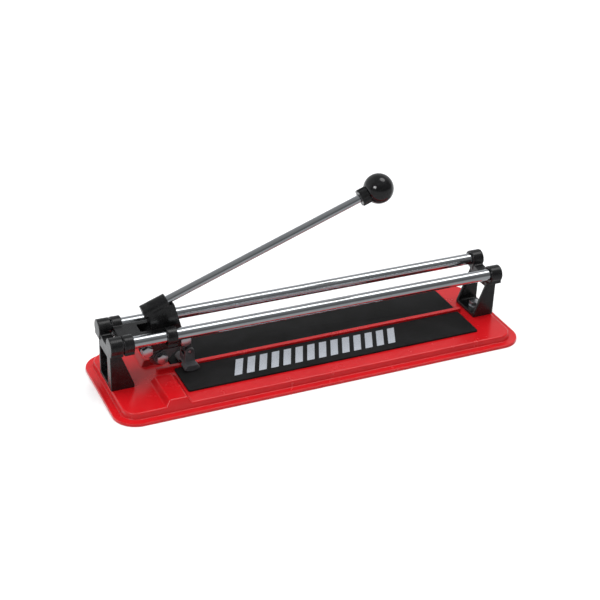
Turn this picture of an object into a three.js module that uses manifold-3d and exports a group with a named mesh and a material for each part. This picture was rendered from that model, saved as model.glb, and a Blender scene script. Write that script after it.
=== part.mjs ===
// Manual tile cutter: pressed steel base, two guide rails and a sliding carriage with a
// scoring wheel, a breaking foot and a lever handle.  Millimetres, +Z up, rails along X.
// The pieces are drawn with the lever's plane at y = 0, then moved back so that the origin
// is in the middle of the base's underside.
import * as THREE from 'three';
import { mergeVertices } from 'three/addons/utils/BufferGeometryUtils.js';
import Module from 'manifold-3d';

const wasm = await Module();
wasm.setup();

// ---------------------------------------------------------------- driving dimensions
const GAP = 0.3; // clearance between pieces that touch or slide

const BASE = { halfLength: 220, front: -72, rear: 60, corner: 24, flange: 2.5, sheet: 1.5 };
const DECK = { halfLength: 212, front: -64, rear: 55, corner: 16, top: 8.75, draft: 1.5 };
const FENCE = { top: 14.75, left: -171, right: -145.5, topLeft: -167, topRight: -149.5 };
const NOTCH = { front: -13.5, rear: 13 };
const RIDGE = { left: -157.5, right: 180, halfWidth: 2.4, top: 12.75 };
const PAD = { left: -142.5, right: 177.5, inner: 2.9, outer: 45.5, corner: 2, thick: 2 };
const PAD_TOP = DECK.top + PAD.thick;

const RAIL = { radius: 6, y: 19, z: 59, halfLength: 210 };
const CUP = { radius: 8.75, inner: 200, outer: 212.5, floor: 1.9 };
const BRACKET = { outer: 211.25, foot: 187.75, top: 200.5, halfWidth: 18.5, wall: 3.5 };
const BRACKET_BOLT_X = 199.5;
const M6 = { shank: 3, hole: 3.4, headFlats: 10, headHeight: 4.5, nutHeight: 5, washer: 6 };
const WASHER = 1;

const SLEEVE = { radius: 8.75, bore: 6.4, left: -199, right: -146, length: 10 };
const SLIDE = { plateTop: 62, plateBottom: 54, slotLeft: -176.75, stripInner: 7.4 };
const EAR = { inner: 7.4, outer: 10.75, radius: 5.25 };

// Lever plane: pivot, wheel axle, clamp bolt and foot pin, all parallel to Y.
const PIVOT = new THREE.Vector2(-173, 42.5);
const AXLE = new THREE.Vector2(-156, 27.5);
const CLAMP = new THREE.Vector2(-132.5, 43.5);
const PIN = new THREE.Vector2(-127.5, 28.5);
const LEVER = { halfWidth: 7, cheek: 4.3, armWeb: 4, armBoss: 6 };
const WHEEL = { radius: 11, halfWidth: 1, bevel: 2, bore: 3.3 };
const FOOT = { sole: 17.5, halfWidth: 15, halfLength: 8, eye: 4.75, eyeFace: 7.75, hole: 2.3 };
const FOOT_PIN = 2;

const KNOB = { x: 73, z: 169.5, radius: 15.25 };
const HANDLE_ANGLE = THREE.MathUtils.degToRad(20.4);
const ROD = { radius: 4, socketEnd: 262 }; // socketEnd: knob centre to the socket's closed end
const SOCKET = { radius: 7.25, length: 26, boreStop: 5 };
const COLLAR = { radius: 8.75, length: 9, start: 12.5 };

// ---------------------------------------------------------------- finishes
const finish = (color, roughness, metalness) =>
  new THREE.MeshStandardMaterial({ color, roughness, metalness });
const RED_ENAMEL = finish('#c8202a', 0.25, 0.1);
const BLACK_CASTING = finish('#2c2c2e', 0.5, 0.3);
const GREY_CASTING = finish('#5b5c5e', 0.5, 0.5);
const CHROME = finish('#dfe3e6', 0.12, 1);
const ZINC = finish('#bfc1c3', 0.35, 1);
const RUBBER = finish('#1d1c1c', 0.85, 0);
const CARBIDE = finish('#8d9094', 0.3, 1);
const BLACK_PHENOLIC = finish('#141415', 0.12, 0);

// ---------------------------------------------------------------- solids and joins
/** Turns a closed geometry into a solid that can be joined and cut. */
function solid(geometry) {
  const bare = geometry.clone();
  bare.deleteAttribute('normal');
  bare.deleteAttribute('uv');
  const merged = mergeVertices(bare, 1e-4);
  return new wasm.Manifold(new wasm.Mesh({
    numProp: 3,
    vertProperties: new Float32Array(merged.attributes.position.array),
    triVerts: new Uint32Array(merged.index.array),
  }));
}

/** Joins any number of solids into one. */
const join = (...solids) => solids.reduce((sum, next) => sum.add(next));

/** Cuts every tool from the body. */
const cut = (body, ...tools) => tools.reduce((rest, tool) => rest.subtract(tool), body);

/** Makes a named mesh from a solid, moved from the lever's plane to the base's middle. */
function piece(name, body, material) {
  const moved = body.translate([0, -(BASE.front + BASE.rear) / 2, 0]);
  const { vertProperties, triVerts, numProp } = moved.getMesh();
  const position = new Float32Array(vertProperties.length / numProp * 3);
  for (let i = 0; i < position.length / 3; i += 1) {
    position.set(vertProperties.subarray(i * numProp, i * numProp + 3), i * 3);
  }
  const geometry = new THREE.BufferGeometry();
  geometry.setAttribute('position', new THREE.BufferAttribute(position, 3));
  geometry.setIndex(new THREE.BufferAttribute(new Uint32Array(triVerts), 1));
  const mesh = new THREE.Mesh(geometry.toNonIndexed(), material);
  mesh.geometry.computeVertexNormals();
  mesh.name = name;
  return mesh;
}

// ---------------------------------------------------------------- outlines
/** Rectangle with round corners, centred on (cx, cy). */
function roundedRect(cx, cy, halfX, halfY, radius) {
  const shape = new THREE.Shape();
  shape.moveTo(cx - halfX + radius, cy - halfY);
  shape.absarc(cx + halfX - radius, cy - halfY + radius, radius, -Math.PI / 2, 0);
  shape.absarc(cx + halfX - radius, cy + halfY - radius, radius, 0, Math.PI / 2);
  shape.absarc(cx - halfX + radius, cy + halfY - radius, radius, Math.PI / 2, Math.PI);
  shape.absarc(cx - halfX + radius, cy - halfY + radius, radius, Math.PI, 1.5 * Math.PI);
  return shape;
}

/** Two circles wrapped by a belt: the outline of a link between two bosses. */
function link(p, q, radiusP, radiusQ) {
  const along = Math.atan2(q.y - p.y, q.x - p.x);
  const spread = Math.acos((radiusP - radiusQ) / p.distanceTo(q));
  const shape = new THREE.Shape();
  shape.absarc(q.x, q.y, radiusQ, along - spread, along + spread);
  shape.absarc(p.x, p.y, radiusP, along + spread, along - spread + 2 * Math.PI);
  return shape;
}

/** Closed polygon through [u, v] points. */
const polygon = (points) => new THREE.Shape(points.map(([u, v]) => new THREE.Vector2(u, v)));

// ---------------------------------------------------------------- extrusions and turnings
const extrude = (shape, depth, curveSegments) =>
  new THREE.ExtrudeGeometry(shape, { depth, bevelEnabled: false, curveSegments });

/** Extrudes an X-Y outline from z0 up to z1. */
const plate = (shape, z0, z1, curveSegments = 6) =>
  solid(extrude(shape, z1 - z0, curveSegments).translate(0, 0, z0));

/** Extrudes an X-Z outline from y0 back to y1. */
const profile = (shape, y0, y1, curveSegments = 8) =>
  solid(extrude(shape, y1 - y0, curveSegments).rotateX(Math.PI / 2).translate(0, y1, 0));

/** Extrudes a Y-Z outline from x0 to x1. */
function section(shape, x0, x1, curveSegments = 8) {
  const toYZ = new THREE.Matrix4().makeBasis(
    new THREE.Vector3(0, 1, 0), new THREE.Vector3(0, 0, 1), new THREE.Vector3(1, 0, 0));
  return solid(extrude(shape, x1 - x0, curveSegments).applyMatrix4(toYZ).translate(x0, 0, 0));
}

/** Axis-aligned block between two corners. */
function block(x0, x1, y0, y1, z0, z1) {
  const box = new THREE.BoxGeometry(x1 - x0, y1 - y0, z1 - z0);
  return solid(box.translate((x0 + x1) / 2, (y0 + y1) / 2, (z0 + z1) / 2));
}

/** Cylinder (or prism) between two points. */
function rod(from, to, radius, sides = 24) {
  const along = to.clone().sub(from);
  const turn = new THREE.Quaternion().setFromUnitVectors(
    new THREE.Vector3(0, 1, 0), along.clone().normalize());
  const cylinder = new THREE.CylinderGeometry(radius, radius, along.length(), sides);
  const middle = from.clone().add(to).multiplyScalar(0.5);
  return solid(cylinder.applyQuaternion(turn).translate(middle.x, middle.y, middle.z));
}

/** Cylinder along X, Y or Z through a point of the plane across that axis. */
const rodX = (y, z, radius, x0, x1, sides) =>
  rod(new THREE.Vector3(x0, y, z), new THREE.Vector3(x1, y, z), radius, sides);
const rodY = (centre, radius, y0, y1, sides) =>
  rod(new THREE.Vector3(centre.x, y0, centre.y), new THREE.Vector3(centre.x, y1, centre.y),
    radius, sides);
const rodZ = (x, y, radius, z0, z1, sides) =>
  rod(new THREE.Vector3(x, y, z0), new THREE.Vector3(x, y, z1), radius, sides);

/** Radius across the corners of a hexagon from its width across flats. */
const acrossCorners = (flats) => flats / Math.sqrt(3);

// ---------------------------------------------------------------- base and pads
/** The deck's raised panel with drafted walls, grown or shrunk by an inset. */
function deckPanel(inset, top) {
  const shape = roundedRect(0, (DECK.front + DECK.rear) / 2,
    DECK.halfLength - DECK.draft - inset, (DECK.rear - DECK.front) / 2 - DECK.draft - inset,
    DECK.corner - DECK.draft - inset);
  const wallHeight = top - BASE.flange;
  const geometry = new THREE.ExtrudeGeometry(shape, {
    depth: BASE.flange + 20,
    bevelSize: DECK.draft,
    bevelThickness: wallHeight,
    bevelSegments: 3,
    curveSegments: 6,
  });
  return solid(geometry.translate(0, 0, -20));
}

/** One half of the fence bar, drafted on all four sides, grown inwards by an inset. */
function fenceBar(yFront, yRear, inset) {
  const drop = inset > 0 ? inset + 1 : inset;
  const lowZ = inset > 0 ? 0 : BASE.flange;
  const slope = FENCE.topLeft - FENCE.left;
  const bar = polygon([
    [FENCE.left + inset, lowZ], [FENCE.left + inset, DECK.top - drop],
    [FENCE.topLeft + inset, FENCE.top - inset], [FENCE.topRight - inset, FENCE.top - inset],
    [FENCE.right - inset, DECK.top - drop], [FENCE.right - inset, lowZ],
  ]);
  const ends = polygon([
    [yFront + inset, lowZ], [yFront + inset, DECK.top - drop],
    [yFront + slope / 2 + inset, FENCE.top - inset],
    [yRear - slope / 2 - inset, FENCE.top - inset],
    [yRear - inset, DECK.top - drop], [yRear - inset, lowZ],
  ]);
  return profile(bar, yFront, yRear).intersect(section(ends, FENCE.left - 1, FENCE.right + 1));
}

/** Pressed tray: rim, raised deck, fence bar with its notch, and the breaking ridge. */
function makeBase() {
  const rim = plate(roundedRect(0, (BASE.front + BASE.rear) / 2, BASE.halfLength,
    (BASE.rear - BASE.front) / 2, BASE.corner), 0, BASE.flange, 8);
  const front = DECK.front + DECK.draft;
  const rear = DECK.rear - DECK.draft;
  const ridge = plate(link(new THREE.Vector2(RIDGE.left, 0), new THREE.Vector2(RIDGE.right, 0),
    RIDGE.halfWidth, RIDGE.halfWidth), DECK.top - 1, RIDGE.top);
  const outer = join(deckPanel(0, DECK.top), fenceBar(front, NOTCH.front, 0),
    fenceBar(NOTCH.rear, rear, 0), rim, ridge);
  const above = block(-300, 300, -100, 100, 0, 40);
  const holes = [-1, 1].map((side) => rodZ(side * BRACKET_BOLT_X, 0, M6.hole, -1, 20, 16));
  return cut(outer.intersect(above),
    deckPanel(BASE.sheet, DECK.top - BASE.sheet),
    fenceBar(front, NOTCH.front, BASE.sheet),
    fenceBar(NOTCH.rear, rear, BASE.sheet),
    ...holes);
}

/** Rubber pad on one side of the ridge. */
function makePad(side) {
  const middleX = (PAD.left + PAD.right) / 2;
  const middleY = side * (PAD.inner + PAD.outer) / 2;
  return plate(roundedRect(middleX, middleY, (PAD.right - PAD.left) / 2,
    (PAD.outer - PAD.inner) / 2, PAD.corner), DECK.top, PAD_TOP);
}

// ---------------------------------------------------------------- rails and end brackets
/** D-shaped housing round one rail: round above, squared off below. */
function railHousing(y, radius, x0, x1) {
  const half = radius - 1.75;
  return join(rodX(y, RAIL.z, radius, x0, x1, 24),
    block(x0, x1, y - half, y + half, RAIL.z - radius - 0.5, RAIL.z));
}

/** Left bracket: two blind cups joined by a beam, on two legs and a bolted floor plate. */
function makeBracket() {
  const cups = [-1, 1].map((side) =>
    railHousing(side * RAIL.y, CUP.radius, -CUP.outer, -CUP.inner));
  const beam = section(polygon([
    [-14, 42], [14, 42], [14, 58], [9, 55.25], [0, 54.25], [-9, 55.25], [-14, 58],
  ]), -BRACKET.outer, -BRACKET.top);
  const legOutline = polygon([
    [-BRACKET.outer, DECK.top + 1], [-BRACKET.foot - 0.5, DECK.top + 1],
    [-BRACKET.foot - 0.5, DECK.top + 4], [-BRACKET.top, 47], [-BRACKET.top, 56],
    [-BRACKET.outer, 56],
  ]);
  const inside = BRACKET.halfWidth - BRACKET.wall;
  const frontLeg = profile(legOutline, -BRACKET.halfWidth, -inside);
  const rearLeg = profile(legOutline, inside, BRACKET.halfWidth);
  const frontFlange = block(-BRACKET.outer, -BRACKET.outer + 3, -inside - 0.5, -8,
    DECK.top + 1, 46);
  const middle = -(BRACKET.outer + BRACKET.foot) / 2;
  const floor = plate(roundedRect(middle, 0, (BRACKET.outer - BRACKET.foot) / 2,
    BRACKET.halfWidth, 0.75), DECK.top, DECK.top + 3.5, 2);
  const sockets = [-1, 1].map((side) =>
    rodX(side * RAIL.y, RAIL.z, RAIL.radius + GAP, -CUP.outer + CUP.floor, -CUP.inner + 1, 24));
  const hole = rodZ(-BRACKET_BOLT_X, 0, M6.hole, 0, 20, 16);
  return cut(join(...cups, beam, frontLeg, rearLeg, frontFlange, floor), ...sockets, hole);
}

/** Bolt, washer and nut that hold a bracket down through the deck. */
function makeBracketFasteners(x) {
  const seat = DECK.top + 3.5;
  const underside = DECK.top - BASE.sheet;
  const hex = acrossCorners(M6.headFlats);
  return {
    bolt: join(rodZ(x, 0, hex, seat + WASHER, seat + WASHER + M6.headHeight, 6),
      rodZ(x, 0, M6.shank, 1, seat + WASHER + 1, 12)),
    washer: cut(rodZ(x, 0, M6.washer, seat, seat + WASHER, 20),
      rodZ(x, 0, M6.hole, seat - 1, seat + 2, 16)),
    nut: cut(rodZ(x, 0, hex, underside - M6.nutHeight, underside, 6),
      rodZ(x, 0, M6.hole, underside - M6.nutHeight - 1, underside + 1, 16)),
  };
}

// ---------------------------------------------------------------- carriage
/** Slide: four sleeves on the rails, a solid plate at the left, strips, and pivot ears. */
function makeSlide() {
  const body = [];
  const bores = [];
  for (const side of [-1, 1]) {
    const y = side * RAIL.y;
    const innerFace = side * SLIDE.stripInner;
    const strip = [innerFace, side * 13].sort((a, b) => a - b);
    const ear = [side * EAR.inner, side * EAR.outer].sort((a, b) => a - b);
    body.push(
      railHousing(y, SLEEVE.radius, SLEEVE.left, SLEEVE.left + SLEEVE.length),
      railHousing(y, SLEEVE.radius, SLEEVE.right - SLEEVE.length, SLEEVE.right),
      block(SLEEVE.left, SLEEVE.right, ...strip, SLIDE.plateBottom, SLIDE.plateTop),
      profile(polygon([
        [PIVOT.x - 9, SLIDE.plateBottom + 2], [PIVOT.x - EAR.radius, PIVOT.y],
        [PIVOT.x + EAR.radius, PIVOT.y], [PIVOT.x + 11, SLIDE.plateBottom + 2],
      ]), ...ear),
      rodY(PIVOT, EAR.radius, ...ear, 20),
    );
    bores.push(
      rodX(y, RAIL.z, SLEEVE.bore, SLEEVE.left - 1, SLEEVE.right + 1, 24),
      rodY(PIVOT, M6.hole, ear[0] - 1, ear[1] + 1, 16),
    );
  }
  const webPlate = block(SLEEVE.left, SLIDE.slotLeft, -13, 13,
    SLIDE.plateBottom, SLIDE.plateTop);
  return cut(join(...body, webPlate), ...bores);
}

/** Hex-head bolt along Y through the lever parts, head to the front. */
function crossBolt(centre, front, rear) {
  return join(
    rodY(centre, acrossCorners(M6.headFlats), front - WASHER - M6.headHeight, front - WASHER, 6),
    rodY(centre, M6.shank, front - WASHER - 1, rear, 12),
  );
}

/** Ring along Y: a washer (round) or a nut (six sides). */
const ringY = (centre, radius, y0, y1, sides) =>
  cut(rodY(centre, radius, y0, y1, sides), rodY(centre, M6.hole, y0 - 1, y1 + 1, 16));

// ---------------------------------------------------------------- lever
/** Direction of the handle's axis and a point at a distance back from the knob. */
const HANDLE_DIR = new THREE.Vector3(Math.cos(HANDLE_ANGLE), 0, Math.sin(HANDLE_ANGLE));
const onHandle = (distance) =>
  new THREE.Vector3(KNOB.x, 0, KNOB.z).addScaledVector(HANDLE_DIR, -distance);

/** Upper casting: rod socket, neck and two cheeks that reach the pivot and the clamp bolt. */
function makeHandleLever() {
  const socketStart = onHandle(ROD.socketEnd);
  const socketMouth = onHandle(ROD.socketEnd - SOCKET.length);
  const socket = rod(socketStart, socketMouth, SOCKET.radius, 24);
  const bore = rod(onHandle(ROD.socketEnd - SOCKET.boreStop), onHandle(ROD.socketEnd - 40),
    ROD.radius + GAP, 24);
  const neck = profile(polygon([
    [-169, 78], [-165.5, 60], [-170.5, 53], [-134, 50], [-135.3, 58], [-142.5, 85],
  ]), -LEVER.halfWidth, LEVER.halfWidth);
  const cheeks = profile(link(PIVOT, CLAMP, 6, 6.5), -LEVER.halfWidth, LEVER.halfWidth);
  const bridge = profile(polygon([
    [-174, 48], [-170.5, 53.5], [-134, 53.5], [-129, 49], [-150, 44],
  ]), -LEVER.halfWidth, LEVER.halfWidth);
  const forkGap = block(-185, -120, -LEVER.cheek, LEVER.cheek, 30, 51);
  return cut(join(neck, cheeks, bridge), forkGap,
    rodY(PIVOT, M6.hole, -10, 10, 16), rodY(CLAMP, M6.hole, -10, 10, 16))
    .add(socket).subtract(bore);
}

/** Lower casting: carries the wheel in a fork and the breaking foot on its tongue. */
function makeWheelArm() {
  const web = (p, q, rp, rq) => profile(link(p, q, rp, rq), -LEVER.armWeb, LEVER.armWeb);
  const ribEnd = AXLE.clone().lerp(CLAMP, 0.55);
  const rib = profile(link(AXLE, ribEnd, 7.25, 3.75), -LEVER.armBoss, LEVER.armBoss);
  const body = join(
    web(PIVOT, AXLE, 5.75, 7), web(AXLE, CLAMP, 6.5, 6), web(CLAMP, PIN, 6, 4.5), rib);
  const cheekRoom = profile(link(PIVOT, CLAMP, 6 + GAP, 6.5 + GAP), -10, 10)
    .subtract(block(-200, -100, -LEVER.armWeb, LEVER.armWeb, 0, 90));
  return cut(body, cheekRoom,
    rodY(AXLE, WHEEL.radius + 1.25, -WHEEL.halfWidth - 0.4, WHEEL.halfWidth + 0.4, 28),
    rodY(PIVOT, M6.hole, -10, 10, 16), rodY(AXLE, M6.hole, -10, 10, 16),
    rodY(CLAMP, M6.hole, -10, 10, 16), rodY(PIN, FOOT.hole, -10, 10, 16));
}

/** Carbide scoring wheel with a bevelled rim. */
function makeWheel() {
  const profilePoints = [
    [WHEEL.bore, -WHEEL.halfWidth], [WHEEL.radius - WHEEL.bevel, -WHEEL.halfWidth],
    [WHEEL.radius, 0], [WHEEL.radius - WHEEL.bevel, WHEEL.halfWidth], [WHEEL.bore, WHEEL.halfWidth],
    [WHEEL.bore, -WHEEL.halfWidth],
  ].map(([r, y]) => new THREE.Vector2(r, y));
  const wheel = new THREE.LatheGeometry(profilePoints, 36);
  return solid(wheel.translate(AXLE.x, 0, AXLE.y));
}

/** Breaking foot: two eyes on the pin and a rocker sole wide enough for both pads. */
function makeBreakerFoot() {
  const soleTop = PIN.y - FOOT.sole + 5;
  const rocker = rodY(PIN, FOOT.sole, -FOOT.halfWidth, FOOT.halfWidth, 64);
  const wings = profile(polygon([
    [PIN.x - FOOT.halfLength, PIN.y - 20], [PIN.x + FOOT.halfLength, PIN.y - 20],
    [PIN.x + FOOT.halfLength, soleTop - 1.5], [PIN.x + 5, soleTop + 2],
    [PIN.x - 5, soleTop + 2], [PIN.x - FOOT.halfLength, soleTop - 1.5],
  ]), -FOOT.halfWidth, FOOT.halfWidth);
  const stem = profile(link(PIN, new THREE.Vector2(PIN.x, soleTop), FOOT.eye, 5.5),
    -FOOT.eyeFace, FOOT.eyeFace);
  const tongueRoom = profile(link(PIN, new THREE.Vector2(PIN.x, PIN.y + 12), 6.5, 12),
    -LEVER.cheek, LEVER.cheek);
  const ridgeSlot = cut(rodY(PIN, 30, -3.2, 3.2, 48), rodY(PIN, 14.5, -4, 4, 48));
  return cut(join(wings, stem).intersect(rocker), tongueRoom, ridgeSlot,
    rodY(PIN, FOOT.hole, -10, 10, 16));
}

/** Plated rod from the socket into the knob. */
const makeRod = () =>
  rod(onHandle(ROD.socketEnd - SOCKET.boreStop - GAP), onHandle(6), ROD.radius, 20);

/** Fluted collar under the knob. */
function makeCollar() {
  const flutes = 9;
  const points = [];
  for (let i = 0; i < flutes * 2; i += 1) {
    const angle = i * Math.PI / flutes;
    const radius = i % 2 ? COLLAR.radius - 0.8 : COLLAR.radius;
    points.push([radius * Math.cos(angle), radius * Math.sin(angle)]);
  }
  const collar = extrude(polygon(points), COLLAR.length, 4);
  const start = onHandle(COLLAR.start + COLLAR.length);
  collar.rotateY(Math.PI / 2 - HANDLE_ANGLE).translate(start.x, 0, start.z);
  return solid(collar).subtract(rod(onHandle(60), onHandle(-5), ROD.radius + GAP, 20));
}

/** Ball knob with a flat seat where it meets the collar. */
function makeKnob() {
  const ball = solid(new THREE.SphereGeometry(KNOB.radius, 28, 18).translate(KNOB.x, 0, KNOB.z));
  return cut(ball,
    rod(onHandle(COLLAR.start - GAP), onHandle(40), 30, 24),
    rod(onHandle(30), onHandle(6 - GAP), ROD.radius + GAP, 20));
}

// ---------------------------------------------------------------- assembly
const tileCutter = new THREE.Group();
tileCutter.name = 'tile_cutter';
const add = (name, body, material) => tileCutter.add(piece(name, body, material));

add('base_plate', makeBase(), RED_ENAMEL);
add('front_pad', makePad(-1), RUBBER);
add('rear_pad', makePad(1), RUBBER);

for (const [name, side] of [['front_rail', -1], ['rear_rail', 1]]) {
  add(name, rodX(side * RAIL.y, RAIL.z, RAIL.radius, -RAIL.halfLength, RAIL.halfLength, 24),
    CHROME);
}

for (const [name, side] of [['left', 1], ['right', -1]]) {
  const bracket = side > 0 ? makeBracket() : makeBracket().mirror([1, 0, 0]);
  add(`${name}_bracket`, bracket, BLACK_CASTING);
  const fasteners = makeBracketFasteners(-side * BRACKET_BOLT_X);
  for (const [kind, body] of Object.entries(fasteners)) {
    add(`${name}_bracket_${kind}`, body, ZINC);
  }
}

add('slide_body', makeSlide(), BLACK_CASTING);
add('pivot_bolt', crossBolt(PIVOT, -EAR.outer, EAR.outer + 7), ZINC);
add('pivot_washer', ringY(PIVOT, M6.washer, -EAR.outer - WASHER, -EAR.outer, 20), ZINC);
add('pivot_nut', ringY(PIVOT, acrossCorners(M6.headFlats), EAR.outer, EAR.outer + 5, 6), ZINC);

add('handle_lever', makeHandleLever(), BLACK_CASTING);
add('clamp_bolt', crossBolt(CLAMP, -LEVER.halfWidth + WASHER, LEVER.halfWidth + 5.4), ZINC);
add('clamp_nut', ringY(CLAMP, acrossCorners(M6.headFlats), LEVER.halfWidth,
  LEVER.halfWidth + 5, 6), ZINC);
add('wheel_arm', makeWheelArm(), GREY_CASTING);
add('wheel_axle_bolt', crossBolt(AXLE, -LEVER.armBoss + WASHER, LEVER.armBoss + 6), ZINC);
add('wheel_axle_nut', ringY(AXLE, acrossCorners(M6.headFlats), LEVER.armBoss,
  LEVER.armBoss + 5, 6), ZINC);
add('scoring_wheel', makeWheel(), CARBIDE);
add('foot_pin', rodY(PIN, FOOT_PIN, -7, 7, 12), ZINC);
add('breaker_foot', makeBreakerFoot(), GREY_CASTING);

add('handle_rod', makeRod(), CHROME);
add('knob_collar', makeCollar(), BLACK_PHENOLIC);
add('ball_knob', makeKnob(), BLACK_PHENOLIC);

export default tileCutter;
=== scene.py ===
"""Manual tile cutter: finished pieces, finishes and a plain studio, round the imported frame.

The pieces are shaped in millimetres, with +Z up, the guide rails along X and y = 0 in the
lever's plane. They are moved to the frame's own origin and scaled to metres when they are
put in place.
"""

from __future__ import annotations

import logging
import math
from collections.abc import Callable, Sequence
from dataclasses import dataclass, field
from enum import Enum

import bmesh
import bpy
from mathutils import Matrix, Vector

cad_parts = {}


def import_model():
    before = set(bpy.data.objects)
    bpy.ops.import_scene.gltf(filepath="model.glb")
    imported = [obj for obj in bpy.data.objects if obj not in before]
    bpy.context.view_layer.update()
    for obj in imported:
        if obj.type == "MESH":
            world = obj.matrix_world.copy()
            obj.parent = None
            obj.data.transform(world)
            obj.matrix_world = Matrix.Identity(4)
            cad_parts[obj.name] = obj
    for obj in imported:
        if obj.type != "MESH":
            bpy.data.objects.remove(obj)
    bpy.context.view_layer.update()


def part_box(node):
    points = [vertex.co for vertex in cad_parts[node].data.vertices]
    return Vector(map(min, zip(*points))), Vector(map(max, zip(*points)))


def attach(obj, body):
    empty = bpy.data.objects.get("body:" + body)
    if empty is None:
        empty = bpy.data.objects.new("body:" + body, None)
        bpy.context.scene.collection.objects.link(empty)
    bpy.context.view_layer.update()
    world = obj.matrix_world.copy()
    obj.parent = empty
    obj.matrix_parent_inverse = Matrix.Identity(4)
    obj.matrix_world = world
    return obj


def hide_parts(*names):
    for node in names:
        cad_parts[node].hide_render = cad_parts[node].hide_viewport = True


LOG = logging.getLogger("tile_cutter")
MM = 0.001  # metres in a millimetre
KNOB_RADIUS = 15.25  # millimetres
SMOOTH = 180.0  # crease angle of a casting, which has no crisp edge


# ------------------------------------------------------------------ solids
class Axis(Enum):
    """The direction a flat outline is drawn out in."""

    X = "x"
    Y = "y"
    Z = "z"

    def point(self, u: float, v: float, along: float) -> Vector:
        """Place an outline point (u, v) at a distance along this axis.

        Args:
            u: First coordinate of the outline (Y for X, otherwise X).
            v: Second coordinate of the outline (Y for Z, otherwise Z).
            along: Distance along the axis.

        Returns:
            The point in millimetres.
        """
        places = {Axis.X: (along, u, v), Axis.Y: (u, along, v), Axis.Z: (u, v, along)}
        return Vector(places[self])


class Joinery(Enum):
    """How one solid is combined with another."""

    JOIN = "UNION"
    CUT = "DIFFERENCE"
    KEEP = "INTERSECT"


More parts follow.
